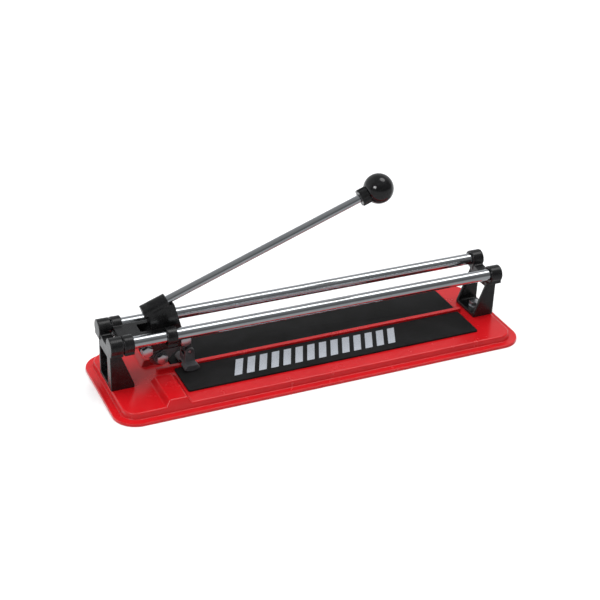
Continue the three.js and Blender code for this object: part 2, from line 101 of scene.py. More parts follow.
class Solid:
    """A closed shape under construction, in millimetres."""

    def __init__(self) -> None:
        """Start with nothing."""
        self.mesh = bmesh.new()

    @classmethod
    def cylinder(
        cls, start: Vector, end: Vector, radius: float, tip: float | None = None, sides: int = 64
    ) -> Solid:
        """Make a round bar, cone or regular prism.

        Args:
            start: Centre of the first end.
            end: Centre of the other end.
            radius: Radius at the start.
            tip: Radius at the end; the same as radius if left out.
            sides: How many sides it has.

        Returns:
            The new solid.
        """
        along = end - start
        turn = along.to_track_quat("Z", "Y").to_matrix().to_4x4()
        made = cls()
        bmesh.ops.create_cone(
            made.mesh,
            cap_ends=True,
            segments=sides,
            radius1=radius,
            radius2=radius if tip is None else tip,
            depth=along.length,
            matrix=Matrix.Translation((start + end) / 2) @ turn,
        )
        return made

    @classmethod
    def block(cls, low: Sequence[float], high: Sequence[float]) -> Solid:
        """Make a box between two opposite corners."""
        low, high = Vector(low), Vector(high)
        made = cls()
        size = Matrix.Diagonal((*(high - low), 1.0))
        bmesh.ops.create_cube(
            made.mesh, size=1.0, matrix=Matrix.Translation((low + high) / 2) @ size
        )
        return made

    @classmethod
    def prism(
        cls, outline: Sequence[tuple[float, float]], axis: Axis, low: float, high: float
    ) -> Solid:
        """Draw a flat outline out along an axis.

        Args:
            outline: Corners of the outline in order.
            axis: The direction it is drawn out in.
            low: Where it starts along the axis.
            high: Where it ends along the axis.

        Returns:
            The new solid.
        """
        made = cls()
        face = made.mesh.faces.new([made.mesh.verts.new(axis.point(u, v, low)) for u, v in outline])
        drawn = bmesh.ops.extrude_face_region(made.mesh, geom=[face])["geom"]
        moved = [item for item in drawn if isinstance(item, bmesh.types.BMVert)]
        bmesh.ops.translate(made.mesh, verts=moved, vec=axis.point(0, 0, high - low))
        return made.outward()

    @classmethod
    def turned(
        cls,
        outline: Sequence[tuple[float, float]],
        start: Vector,
        direction: Vector,
        sides: int = 64,
    ) -> Solid:
        """Turn an outline round an axis, as on a lathe.

        Args:
            outline: (radius, distance from start) points, closed by the axis or by itself.
            start: Where the axis starts.
            direction: Which way the axis points.
            sides: How many steps the turn takes.

        Returns:
            The new solid.
        """
        made = cls()
        points = [made.mesh.verts.new((radius, 0.0, along)) for radius, along in outline]
        edges = [made.mesh.edges.new(pair) for pair in zip(points, points[1:])]
        bmesh.ops.spin(
            made.mesh,
            geom=points + edges,
            cent=(0, 0, 0),
            axis=(0, 0, 1),
            angle=math.tau,
            steps=sides,
            use_merge=True,
        )
        turn = direction.to_track_quat("Z", "Y").to_matrix().to_4x4()
        bmesh.ops.transform(
            made.mesh, matrix=Matrix.Translation(start) @ turn, verts=made.mesh.verts
        )
        return made.outward()

    @classmethod
    def belt(
        cls,
        p: Vector,
        q: Vector,
        radius_p: float,
        radius_q: float,
        half: float,
        near: float | None = None,
    ) -> Solid:
        """Make a link: two round bosses along Y with a straight-sided web between them.

        Args:
            p: Centre of the first boss.
            q: Centre of the second boss.
            radius_p: Radius of the first boss.
            radius_q: Radius of the second boss.
            half: How far it reaches to the rear, and to the front unless near is given.
            near: Front face along Y.

        Returns:
            The new solid.
        """
        front = -half if near is None else near
        rear = Vector((0, half, 0))
        face = Vector((0, front, 0))
        made = cls.cylinder(p + face, p + rear, radius_p).joined(
            cls.cylinder(q + face, q + rear, radius_q)
        )
        along = math.atan2(q.z - p.z, q.x - p.x)
        spread = math.acos((radius_p - radius_q) / (q - p).length)
        corners = [
            (centre.x + radius * math.cos(turn), centre.z + radius * math.sin(turn))
            for centre, radius, turn in (
                (p, radius_p, along - spread),
                (q, radius_q, along - spread),
                (q, radius_q, along + spread),
                (p, radius_p, along + spread),
            )
        ]
        return made.joined(cls.prism(corners, Axis.Y, front, half))

    def outward(self) -> Solid:
        """Merge doubled corners and turn every face outwards."""
        bmesh.ops.remove_doubles(self.mesh, verts=self.mesh.verts, dist=1e-4)
        bmesh.ops.recalc_face_normals(self.mesh, faces=self.mesh.faces)
        return self

    def rounded(
        self, radius: float, where: Callable[[bmesh.types.BMEdge], bool], segments: int = 3
    ) -> Solid:
        """Round the edges that a test picks.

        Args:
            radius: How far the rounding reaches from the edge.
            where: Says whether an edge is rounded.
            segments: How many steps the rounding takes.

        Returns:
            This solid.
        """
        bmesh.ops.bevel(
            self.mesh,
            geom=[edge for edge in self.mesh.edges if where(edge)],
            offset=radius,
            offset_type="OFFSET",
            segments=segments,
            profile=0.5,
            affect="EDGES",
            clamp_overlap=True,
            material=-1,
        )
        return self

    def with_shell(self, *others: Solid) -> Solid:
        """Add other closed shells to this one without cutting them to each other."""
        for other in others:
            spare = bpy.data.meshes.new("shell")
            other.mesh.to_mesh(spare)
            self.mesh.from_mesh(spare)
            bpy.data.meshes.remove(spare)
        return self

    def joined(self, *others: Solid) -> Solid:
        """Join other solids to this one."""
        return self._combined(others, Joinery.JOIN)

    def cut(self, *others: Solid) -> Solid:
        """Cut other solids from this one."""
        return self._combined(others, Joinery.CUT)

    def kept(self, *others: Solid) -> Solid:
        """Keep only what lies inside the other solids too."""
        return self._combined(others, Joinery.KEEP)

    def cast(self, grain: float, passes: int) -> Solid:
        """Rebuild the skin as an even mesh and soften it, as a sand or die casting is.

        Args:
            grain: Size of the mesh's squares.
            passes: How often the skin is smoothed.

        Returns:
            This solid.
        """
        blank = self._blank("casting")
        skin = blank.modifiers.new("skin", "REMESH")
        skin.mode = "VOXEL"
        skin.voxel_size = grain
        self._take(blank)
        for _ in range(passes):
            bmesh.ops.smooth_vert(
                self.mesh,
                verts=self.mesh.verts,
                factor=0.5,
                use_axis_x=True,
                use_axis_y=True,
                use_axis_z=True,
            )
        return self

    def walled(self, thickness: float) -> Solid:
        """Give an open skin a wall on its inner side.

        Args:
            thickness: Thickness of the wall.

        Returns:
            This solid.
        """
        blank = self._blank("sheet")
        wall = blank.modifiers.new("wall", "SOLIDIFY")
        wall.thickness = thickness
        wall.offset = -1.0
        wall.use_even_offset = True
        self._take(blank)
        return self

    def mirrored(self, axis: Axis) -> Solid:
        """Turn this solid into its mirror image along an axis."""
        flip = Vector((1, 1, 1)) - 2 * axis.point(0, 0, 1)
        bmesh.ops.scale(self.mesh, vec=flip, verts=self.mesh.verts)
        return self.outward()

    def _blank(self, name: str) -> bpy.types.Object:
        """Put the shape into a throwaway object of that name."""
        self.outward()
        mesh = bpy.data.meshes.new(name)
        self.mesh.to_mesh(mesh)
        made = bpy.data.objects.new(name, mesh)
        bpy.context.scene.collection.objects.link(made)
        return made

    def _take(self, blank: bpy.types.Object) -> None:
        """Read the shape back from a throwaway object with its modifiers, and drop it."""
        bpy.context.view_layer.update()
        shaped = blank.evaluated_get(bpy.context.evaluated_depsgraph_get()).to_mesh()
        self.mesh.clear()
        self.mesh.from_mesh(shaped)
        mesh = blank.data
        bpy.data.objects.remove(blank)
        bpy.data.meshes.remove(mesh)

    def _combined(self, others: Sequence[Solid], how: Joinery) -> Solid:
        """Combine with other solids, one after the other."""
        blank = self._blank("stock")
        tools = [other._blank("tool") for other in others]
        for tool in tools:
            step = blank.modifiers.new("step", "BOOLEAN")
            step.operation = how.value
            step.solver = "MANIFOLD"
            step.object = tool
        self._take(blank)
        for tool in tools:
            mesh = tool.data
            bpy.data.objects.remove(tool)
            bpy.data.meshes.remove(mesh)
        return self


def sharp(degrees: float = 25.0) -> Callable[[bmesh.types.BMEdge], bool]:
    """Make a test for edges whose faces meet at more than an angle."""
    limit = math.radians(degrees)
    return lambda edge: len(edge.link_faces) == 2 and edge.calc_face_angle(0.0) > limit


def middle(edge: bmesh.types.BMEdge) -> Vector:
    """Return the middle point of an edge."""
    return (edge.verts[0].co + edge.verts[1].co) / 2


# ------------------------------------------------------------------ node trees
def linear(code: str) -> tuple[float, float, float, float]:
    """Turn an sRGB hex colour into linear RGBA.

    Args:
        code: The colour, such as "#c8202a".

    Returns:
        Red, green, blue and alpha.
    """
    parts = [int(code[i : i + 2], 16) / 255 for i in (1, 3, 5)]
    red, green, blue = (
        part / 12.92 if part <= 0.04045 else ((part + 0.055) / 1.055) ** 2.4 for part in parts
    )
    return red, green, blue, 1.0


def per_mm(size: float) -> float:
    """Return the scale of a pattern whose features are that many millimetres wide."""
    return 1.0 / (size * MM)


def add_node(
    tree: bpy.types.NodeTree,
    kind: str,
    sockets: dict[str | int, object] | None = None,
    **settings: object,
) -> bpy.types.Node:
    """Add a node to a tree.

    Args:
        tree: The material's node tree.
        kind: Name of the node after "ShaderNode".
        sockets: Values for its inputs, or outputs that are linked to them.
        settings: Its other settings.

    Returns:
        The new node.
    """
    node = tree.nodes.new("ShaderNode" + kind)
    for name, value in settings.items():
        setattr(node, name, value)
    for key, value in (sockets or {}).items():
        if isinstance(value, bpy.types.NodeSocket):
            tree.links.new(value, node.inputs[key])
        else:
            node.inputs[key].default_value = value
    return node


# ------------------------------------------------------------------ finishes
@dataclass(frozen=True)
class Finish:
    """A surface finish: what a piece is made of and how that surface was made."""

    name: str

    def material(self) -> bpy.types.Material:
        """Return this finish's material, made on first use."""
        made = bpy.data.materials.get(self.name)
        if made is None:
            made = bpy.data.materials.new(self.name)
            made.use_nodes = True
            made.node_tree.nodes.clear()
            shader = add_node(made.node_tree, "BsdfPrincipled")
            add_node(made.node_tree, "OutputMaterial", {"Surface": shader.outputs["BSDF"]})
            place = add_node(made.node_tree, "TexCoord").outputs["Object"]
            for name, value in self.dress(made.node_tree, place).items():
                if isinstance(value, bpy.types.NodeSocket):
                    made.node_tree.links.new(value, shader.inputs[name])
                else:
                    shader.inputs[name].default_value = value
        return made

    def dress(self, tree: bpy.types.NodeTree, place: bpy.types.NodeSocket) -> dict[str, object]:
        """Build the pattern nodes.

        Args:
            tree: The material's node tree.
            place: Object coordinates in metres.

        Returns:
            Values or outputs for the shader's inputs.
        """
        raise NotImplementedError


@dataclass(frozen=True)
class StovedEnamel(Finish):
    """Red enamel stoved on pressed steel: deep even gloss with a faint orange peel."""

    name: str = "red_stoved_enamel_on_steel"
    colour: str = "#c9141b"
    deep: str = "#c01118"
    peel_mm: float = 3.5  # width of the orange peel's bumps, coarser than real so that they show
    cloud_mm: float = 45.0  # width of the thicker and thinner areas of enamel

    def dress(self, tree: bpy.types.NodeTree, place: bpy.types.NodeSocket) -> dict[str, object]:
        """Mix the thick and thin enamel, add the peel and dull the gloss in places."""
        cloud = add_node(
            tree,
            "TexNoise",
            {"Vector": place, "Scale": per_mm(self.cloud_mm), "Detail": 4.0, "Roughness": 0.6},
        )
        tone = add_node(
            tree,
            "MapRange",
            {"Value": cloud.outputs[0], "From Min": 0.35, "From Max": 0.65},
        )
        body = add_node(
            tree,
            "Mix",
            {0: tone.outputs[0], 6: linear(self.deep), 7: linear(self.colour)},
            data_type="RGBA",
        )
        peel = add_node(
            tree,
            "TexNoise",
            {"Vector": place, "Scale": per_mm(self.peel_mm), "Detail": 0.0},
        )
        relief = add_node(
            tree,
            "Bump",
            {"Height": peel.outputs[0], "Strength": 0.07, "Distance": 0.08 * MM},
        )
        # Handling leaves some areas of the gloss a little duller.
        rub = add_node(
            tree,
            "TexNoise",
            {"Vector": place, "Scale": per_mm(18.0), "Detail": 6.0, "Roughness": 0.7},
        )
        gloss = add_node(
            tree,
            "MapRange",
            {
                "Value": rub.outputs[0],
                "From Min": 0.3,
                "From Max": 0.75,
                "To Min": 0.2,
                "To Max": 0.3,
            },
        )
        return {
            "Base Color": body.outputs[2],
            "Roughness": gloss.outputs[0],
            "Normal": relief.outputs[0],
            "IOR": 1.5,
            "Coat Weight": 0.15,
            "Coat Roughness": 0.12,
        }


@dataclass(frozen=True)
class PaintedCasting(Finish):
    """Die-cast zinc with a satin black paint: soft sheen over a fine sandy skin."""

    name: str = "satin_black_painted_casting"
    colour: str = "#0d0d0e"
    thin: str = "#171718"
    worn: str = "#4c4c4e"
    grit_mm: float = 0.9  # casting grit, coarser than real so that it shows
    rough: tuple[float, float] = (0.2, 0.32)
    wear: float = 0.6

    def dress(self, tree: bpy.types.NodeTree, place: bpy.types.NodeSocket) -> dict[str, object]:
        """Mix thick and thin paint, wear the edges and add the grit."""
        cloud = add_node(
            tree,
            "TexNoise",
            {"Vector": place, "Scale": per_mm(9.0), "Detail": 5.0, "Roughness": 0.65},
        )
        tone = add_node(
            tree,
            "MapRange",
            {"Value": cloud.outputs[0], "From Min": 0.38, "From Max": 0.62},
        )
        body = add_node(
            tree,
            "Mix",
            {0: tone.outputs[0], 6: linear(self.colour), 7: linear(self.thin)},
            data_type="RGBA",
        )
        form = add_node(tree, "NewGeometry")
        edge = add_node(
            tree,
            "MapRange",
            {
                "Value": form.outputs["Pointiness"],
                "From Min": 0.52,
                "From Max": 0.62,
                "To Max": self.wear,
            },
        )
        coat = add_node(
            tree,
            "Mix",
            {0: edge.outputs[0], 6: body.outputs[2], 7: linear(self.worn)},
            data_type="RGBA",
        )
        grit = add_node(
            tree,
            "TexNoise",
            {"Vector": place, "Scale": per_mm(self.grit_mm), "Detail": 4.0, "Roughness": 0.6},
        )
        relief = add_node(
            tree,
            "Bump",
            {"Height": grit.outputs[0], "Strength": 0.3, "Distance": 0.12 * MM},
        )
        sheen = add_node(
            tree,
            "MapRange",
            {
                "Value": cloud.outputs[0],
                "From Min": 0.3,
                "From Max": 0.7,
                "To Min": self.rough[0],
                "To Max": self.rough[1],
            },
        )
        return {
            "Base Color": coat.outputs[2],
            "Roughness": sheen.outputs[0],
            "Normal": relief.outputs[0],
            "IOR": 1.5,
        }


@dataclass(frozen=True)
class ChromePlate(Finish):
    """Ground steel bar with bright chrome: mirror bands with faint grinding lines."""

    name: str = "chrome_plated_ground_bar"
    colour: str = "#dcdee0"
    tint: str = "#c3c7cb"
    line_mm: float = 0.5  # spacing of the grinding lines, coarser than real so that it shows

    def dress(self, tree: bpy.types.NodeTree, place: bpy.types.NodeSocket) -> dict[str, object]:
        """Blur the mirror a little along the bar and cloud it with handling."""
        smear = add_node(
            tree,
            "TexNoise",
            {"Vector": place, "Scale": per_mm(14.0), "Detail": 5.0, "Roughness": 0.6},
        )
        body = add_node(
            tree,
            "Mix",
            {0: smear.outputs[0], 6: linear(self.colour), 7: linear(self.tint)},
            data_type="RGBA",
        )
        gloss = add_node(
            tree,
            "MapRange",
            {
                "Value": smear.outputs[0],
                "From Min": 0.3,
                "From Max": 0.7,
                "To Min": 0.1,
                "To Max": 0.2,
            },
        )
        lines = add_node(
            tree,
            "TexNoise",
            {"Vector": place, "Scale": per_mm(self.line_mm), "Detail": 3.0},
        )
        relief = add_node(
            tree,
            "Bump",
            {"Height": lines.outputs[0], "Strength": 0.02, "Distance": 0.03 * MM},
        )
        return {
            "Base Color": body.outputs[2],
            "Metallic": 1.0,
            "Roughness": gloss.outputs[0],
            "Normal": relief.outputs[0],
        }


@dataclass(frozen=True)
class ZincPlate(Finish):
    """Steel fastener with bright zinc plate: pale satin metal with a faint cool bloom."""

    name: str = "bright_zinc_plated_steel"
    colour: str = "#e6e7e9"
    bloom: str = "#c8ccd2"
    grain_mm: float = 0.6

    def dress(self, tree: bpy.types.NodeTree, place: bpy.types.NodeSocket) -> dict[str, object]:
        """Cloud the plating and roughen it with its crystals."""
        cloud = add_node(
            tree,
            "TexNoise",
            {"Vector": place, "Scale": per_mm(3.5), "Detail": 4.0, "Roughness": 0.6},
        )
        body = add_node(
            tree,
            "Mix",
            {0: cloud.outputs[0], 6: linear(self.bloom), 7: linear(self.colour)},
            data_type="RGBA",
        )
        grain = add_node(
            tree,
            "TexNoise",
            {"Vector": place, "Scale": per_mm(self.grain_mm), "Detail": 3.0},
        )
        gloss = add_node(
            tree,
            "MapRange",
            {
                "Value": grain.outputs[0],
                "From Min": 0.3,
                "From Max": 0.7,
                "To Min": 0.26,
                "To Max": 0.42,
            },
        )
        relief = add_node(
            tree,
            "Bump",
            {"Height": grain.outputs[0], "Strength": 0.15, "Distance": 0.05 * MM},
        )
        return {
            "Base Color": body.outputs[2],
            "Metallic": 1.0,
            "Roughness": gloss.outputs[0],
            "Normal": relief.outputs[0],
        }


@dataclass(frozen=True)
class FoamRubber(Finish):
    """Closed-cell foam rubber sheet: dull near-black with a fine pitted face."""

    name: str = "closed_cell_foam_rubber"
    colour: str = "#161616"
    dusty: str = "#232324"
    cell_mm: float = 0.8  # width of the pits, coarser than real so that they show

    def dress(self, tree: bpy.types.NodeTree, place: bpy.types.NodeSocket) -> dict[str, object]:
        """Pit the face and lay a trace of dust on it."""
        cells = add_node(tree, "TexVoronoi", {"Vector": place, "Scale": per_mm(self.cell_mm)})
        dust = add_node(
            tree,
            "TexNoise",
            {"Vector": place, "Scale": per_mm(22.0), "Detail": 8.0, "Roughness": 0.7},
        )
        tone = add_node(
            tree,
            "MapRange",
            {"Value": dust.outputs[0], "From Min": 0.4, "From Max": 0.7},
        )
        body = add_node(
            tree,
            "Mix",
            {0: tone.outputs[0], 6: linear(self.colour), 7: linear(self.dusty)},
            data_type="RGBA",
        )
        gloss = add_node(
            tree,
            "MapRange",
            {
                "Value": dust.outputs[0],
                "From Min": 0.3,
                "From Max": 0.7,
                "To Min": 0.72,
                "To Max": 0.92,
            },
        )
        relief = add_node(
            tree,
            "Bump",
            {"Height": cells.outputs[0], "Strength": 0.35, "Distance": 0.15 * MM},
        )
        return {
            "Base Color": body.outputs[2],
            "Roughness": gloss.outputs[0],
            "Normal": relief.outputs[0],
            "Specular IOR Level": 0.15,
        }


@dataclass(frozen=True)
class GroundCarbide(Finish):
    """Ground tungsten carbide: dark steel grey with fine grinding rings."""

    name: str = "ground_tungsten_carbide"
    colour: str = "#a3a6aa"
    dark: str = "#7b7e82"

    def dress(self, tree: bpy.types.NodeTree, place: bpy.types.NodeSocket) -> dict[str, object]:
        """Streak the ground faces."""
        streak = add_node(tree, "TexNoise", {"Vector": place, "Scale": per_mm(0.7), "Detail": 5.0})
        body = add_node(
            tree,
            "Mix",
            {0: streak.outputs[0], 6: linear(self.dark), 7: linear(self.colour)},
            data_type="RGBA",
        )
        gloss = add_node(
            tree,
            "MapRange",
            {
                "Value": streak.outputs[0],
                "From Min": 0.3,
                "From Max": 0.7,
                "To Min": 0.22,
                "To Max": 0.4,
            },
        )
        relief = add_node(
            tree,
            "Bump",
            {"Height": streak.outputs[0], "Strength": 0.1, "Distance": 0.05 * MM},
        )
        return {
            "Base Color": body.outputs[2],
            "Metallic": 1.0,
            "Roughness": gloss.outputs[0],
            "Normal": relief.outputs[0],
        }


@dataclass(frozen=True)
class PhenolicMoulding(Finish):
    """Compression-moulded phenolic resin: hard black gloss with the odd fine scuff."""

    name: str = "moulded_black_phenolic"
    colour: str = "#0c0c0d"
    scuffed: str = "#1d1d1f"

    def dress(self, tree: bpy.types.NodeTree, place: bpy.types.NodeSocket) -> dict[str, object]:
        """Scuff the gloss and leave the slight waviness of the mould."""
        scuff = add_node(
            tree,
            "TexNoise",
            {"Vector": place, "Scale": per_mm(5.0), "Detail": 8.0, "Roughness": 0.7},
        )
        tone = add_node(
            tree,
            "MapRange",
            {"Value": scuff.outputs[0], "From Min": 0.5, "From Max": 0.75},
        )
        body = add_node(
            tree,
            "Mix",
            {0: tone.outputs[0], 6: linear(self.colour), 7: linear(self.scuffed)},
            data_type="RGBA",
        )
        gloss = add_node(
            tree,
            "MapRange",
            {
                "Value": scuff.outputs[0],
                "From Min": 0.3,
                "From Max": 0.8,
                "To Min": 0.08,
                "To Max": 0.2,
            },
        )
        wave = add_node(tree, "TexNoise", {"Vector": place, "Scale": per_mm(6.0), "Detail": 1.0})
        relief = add_node(
            tree,
            "Bump",
            {"Height": wave.outputs[0], "Strength": 0.05, "Distance": 0.2 * MM},
        )
        return {
            "Base Color": body.outputs[2],
            "Roughness": gloss.outputs[0],
            "Normal": relief.outputs[0],
            "IOR": 1.6,
        }


@dataclass(frozen=True)
class ScreenInk(Finish):
    """Silver ink screen-printed on foam rubber: pale, flat and slightly broken."""

    name: str = "silver_screen_print_ink"
    colour: str = "#b9bec6"
    thin: str = "#8f949c"

    def dress(self, tree: bpy.types.NodeTree, place: bpy.types.NodeSocket) -> dict[str, object]:
        """Break the ink up where the foam's pits show through."""
        pits = add_node(
            tree,
            "TexNoise",
            {"Vector": place, "Scale": per_mm(1.2), "Detail": 6.0, "Roughness": 0.7},
        )
        tone = add_node(
            tree,
            "MapRange",
            {"Value": pits.outputs[0], "From Min": 0.35, "From Max": 0.5},
        )
        body = add_node(
            tree,
            "Mix",
            {0: tone.outputs[0], 6: linear(self.thin), 7: linear(self.colour)},
            data_type="RGBA",
        )
        gloss = add_node(
            tree,
            "MapRange",
            {
                "Value": pits.outputs[0],
                "From Min": 0.3,
                "From Max": 0.7,
                "To Min": 0.45,
                "To Max": 0.65,
            },
        )
        relief = add_node(
            tree,
            "Bump",
            {"Height": pits.outputs[0], "Strength": 0.2, "Distance": 0.05 * MM},
        )
        return {
            "Base Color": body.outputs[2],
            "Roughness": gloss.outputs[0],
            "Normal": relief.outputs[0],
            "Metallic": 0.2,
        }


class Slot(Enum):
    """The record's material slots, with the finish that each one gets."""

    RED_ENAMEL = StovedEnamel()
    BLACK_CASTING = PaintedCasting()
    # Lighter grey copy of the black casting. On the wheel arm this is painted light: it stands for
    # the band where the arm's rib catches the light. The breaking foot shares it.
    GREY_CASTING = PaintedCasting(
        name="black_casting_painted_lit_grey",
        colour="#3a3a3c",
        thin="#4a4a4d",
        worn="#7a7a7d",
        rough=(0.38, 0.55),
        wear=0.8,
    )
    CHROME_BAR = ChromePlate()
    ZINC_STEEL = ZincPlate()
    BED_RUBBER = FoamRubber()
    CARBIDE = GroundCarbide()
    BLACK_PHENOLIC = PhenolicMoulding()


# ------------------------------------------------------------------ places
@dataclass(frozen=True)
class Layout:
    """Where the pieces sit, in millimetres, with y measured from the lever's plane."""

    plane_y: float
    pivot: Vector
    axle: Vector
    clamp: Vector
    pin: Vector
    rail: Vector
    rail_end: float
    knob: Vector
    handle: Vector = field(
        default_factory=lambda: Vector(
            (math.cos(math.radians(20.4)), 0.0, math.sin(math.radians(20.4)))
        )
    )

    @classmethod
    def from_frame(cls) -> Layout:
        """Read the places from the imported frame."""
        knob_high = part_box("ball_knob")[1] / MM
        rail_low, rail_high = (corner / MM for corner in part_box("rear_rail"))
        plane_y = (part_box("front_rail")[0].y / MM + rail_high.y) / 2
        return cls(
            plane_y=plane_y,
            pivot=cls.axis_of("pivot_nut"),
            axle=cls.axis_of("wheel_axle_nut"),
            clamp=cls.axis_of("clamp_nut"),
            pin=cls.axis_of("foot_pin"),
            rail=(rail_low + rail_high) / 2 - Vector((0, plane_y, 0)),
            rail_end=rail_high.x,
            knob=Vector((knob_high.x - KNOB_RADIUS, 0.0, knob_high.z - KNOB_RADIUS)),
        )

    @staticmethod
    def axis_of(node: str) -> Vector:
        """Return the middle of a round node, moved to the plane y = 0."""
        low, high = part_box(node)
        centre = (low + high) / 2 / MM
        return Vector((centre.x, 0.0, centre.z))

    def on_handle(self, distance: float) -> Vector:
        """Return the point on the handle's axis at a distance back from the knob's centre."""
        return self.knob - self.handle * distance


@dataclass
class Assembly:
    """A group of pieces that are made and dressed together."""

    layout: Layout

    def fit(
        self, solid: Solid, name: str, node: str, body: str, slot: Slot, crease: float = 32.0
    ) -> bpy.types.Object:
        """Put a finished solid in place instead of a frame node.

        Args:
            solid: The shape in millimetres.
            name: Name of the new piece.
            node: The frame node that it stands for.
            body: The body that it moves with.
            slot: Its material slot.
            crease: Faces that meet at more than this many degrees keep a crisp edge.

        Returns:
            The new piece.
        """
        made = self.place(solid, name, body, slot.value, crease)
        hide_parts(node)
        slot.name.lower()
        return made

    def place(
        self, solid: Solid, name: str, body: str, finish: Finish, crease: float = 32.0
    ) -> bpy.types.Object:
        """Turn a solid into an object in metres that rides on a body.

        Args:
            solid: The shape in millimetres.
            name: Name of the new piece.
            body: The body that it moves with.
            finish: Its surface finish.
            crease: Faces that meet at more than this many degrees keep a crisp edge.

        Returns:
            The new piece.
        """
        solid.outward()
        corners = solid.mesh.verts
        bmesh.ops.translate(solid.mesh, verts=corners, vec=(0, self.layout.plane_y, 0))
        bmesh.ops.scale(solid.mesh, vec=(MM, MM, MM), verts=corners)
        mesh = bpy.data.meshes.new(name)
        solid.mesh.to_mesh(mesh)
        solid.mesh.free()
        mesh.shade_smooth()
        mesh.set_sharp_from_angle(angle=math.radians(crease))
        mesh.materials.append(finish.material())
        made = bpy.data.objects.new(name, mesh)
        bpy.context.scene.collection.objects.link(made)
        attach(made, body)
        LOG.info("%s: %d faces, rides on %s", name, len(mesh.polygons), body)
        return made


# ------------------------------------------------------------------ base and bed
@dataclass
class PressedBase(Assembly):
    """The pressed steel tray: rim, raised deck, fence with its notch, breaking ridge."""

    half_length: float = 220.0
    edges_y: tuple[float, float] = (-72.0, 60.0)
    corner: float = 24.0
    flange: float = 2.5
    bead: float = 0.35
    sheet: float = 1.5
    wall_foot: float = 8.0
    rear_step: float = 3.0  # how much nearer the rear wall is to its edge
    draft: float = 1.5
    deck_top: float = 8.75
    fence_x: tuple[float, float] = (-171.0, -145.5)
    fence_top: float = 14.75
    fence_slope: float = 4.0
    notch_y: tuple[float, float] = (-13.5, 13.0)
    ridge_x: tuple[float, float] = (-157.5, 180.0)
    ridge_half: float = 2.4
    ridge_top: float = 12.75

    def build(self) -> None:
        """Make the tray and put it in place."""
        tray = self.skin()
        self.raise_fence(tray)
        tray.walled(self.sheet)
        self.soften(tray)
        tray.with_shell(self.ridge())
        made = self.fit(tray, "pressed_tray", "base_plate", "frame", Slot.RED_ENAMEL)
        even = made.modifiers.new("even_shading", "WEIGHTED_NORMAL")
        even.keep_sharp = True

    def skin(self) -> Solid:
        """Press the rim and the deck from one flat outline."""
        tray = Solid()
        front, rear = self.edges_y
        corners = [
            tray.mesh.verts.new((side * self.half_length, y, 0.0))
            for side, y in ((-1, front), (1, front), (1, rear), (-1, rear))
        ]
        tray.mesh.faces.new(corners)
        bmesh.ops.bevel(
            tray.mesh,
            geom=list(tray.mesh.verts),
            offset=self.corner,
            segments=14,
            profile=0.5,
            affect="VERTICES",
            material=-1,
        )
        face = next(iter(tray.mesh.faces))
        bead = self.flange + self.bead
        steps = (
            (0.05, self.flange * 0.7),
            (0.25, bead - 0.2),
            (0.7, bead),
            (2.2, bead),
            (2.9, self.flange),
            (self.wall_foot, self.flange),
            (self.wall_foot + self.draft, self.deck_top),
        )
        reached = 0.0
        for inset, height in steps:
            bmesh.ops.inset_individual(
                tray.mesh, faces=[face], thickness=inset - reached, use_even_offset=True
            )
            for corner in face.verts:
                corner.co.z = height
                if inset == self.wall_foot and corner.co.y > 0:
                    corner.co.y += self.rear_step
            reached = inset
        return tray

    def raise_fence(self, tray: Solid) -> None:
        """Raise the two fence bars out of the deck, one each side of the notch."""
        for axis, places in ((Axis.X, self.fence_x), (Axis.Y, self.notch_y)):
            for place in places:
                bmesh.ops.bisect_plane(
                    tray.mesh,
                    geom=list(tray.mesh.verts) + list(tray.mesh.edges) + list(tray.mesh.faces),
                    dist=1e-4,
                    plane_co=axis.point(0, 0, place),
                    plane_no=axis.point(0, 0, 1),
                )
        left, right = self.fence_x
        bars = [
            face
            for face in tray.mesh.faces
            if left < face.calc_center_median().x < right
            and abs(face.calc_center_median().z - self.deck_top) < 0.01
            and not self.notch_y[0] < face.calc_center_median().y < self.notch_y[1]
        ]
        for bar in bars:
            drawn = bmesh.ops.extrude_face_region(tray.mesh, geom=[bar])["geom"]
            top = [item for item in drawn if isinstance(item, bmesh.types.BMVert)]
            bmesh.ops.delete(tray.mesh, geom=[bar], context="FACES_ONLY")
            middle_y = sum(corner.co.y for corner in top) / len(top)
            for corner in top:
                corner.co.z = self.fence_top
                corner.co.x += math.copysign(self.fence_slope, (left + right) / 2 - corner.co.x)
                corner.co.y += math.copysign(self.fence_slope / 2, middle_y - corner.co.y)

    def soften(self, tray: Solid) -> None:
        """Round the pressed edges on the outside."""
        tray.outward()
        outer = self.deck_top - 0.05

        def pressed(edge: bmesh.types.BMEdge) -> bool:
            return sharp(20.0)(edge) and middle(edge).z > outer

        def foot(edge: bmesh.types.BMEdge) -> bool:
            return sharp(20.0)(edge) and abs(middle(edge).z - self.flange) < 0.05

        tray.rounded(1.4, pressed, segments=4)
        tray.rounded(1.1, foot, segments=3)

    def ridge(self) -> Solid:
        """Make the breaking ridge between the two pads."""
        left, right = self.ridge_x
        half = self.ridge_half
        rib = Solid.prism(
            [
                (left - half, -half),
                (right + half, -half),
                (right + half, half),
                (left - half, half),
            ],
            Axis.Z,
            self.deck_top - 1.0,
            self.ridge_top,
        )
        rib.rounded(half * 0.98, lambda edge: abs((edge.verts[0].co - edge.verts[1].co).z) > 1.0, 8)
        return rib.rounded(
            0.9, lambda edge: sharp(40.0)(edge) and middle(edge).z > self.ridge_top - 0.01, 4
        )


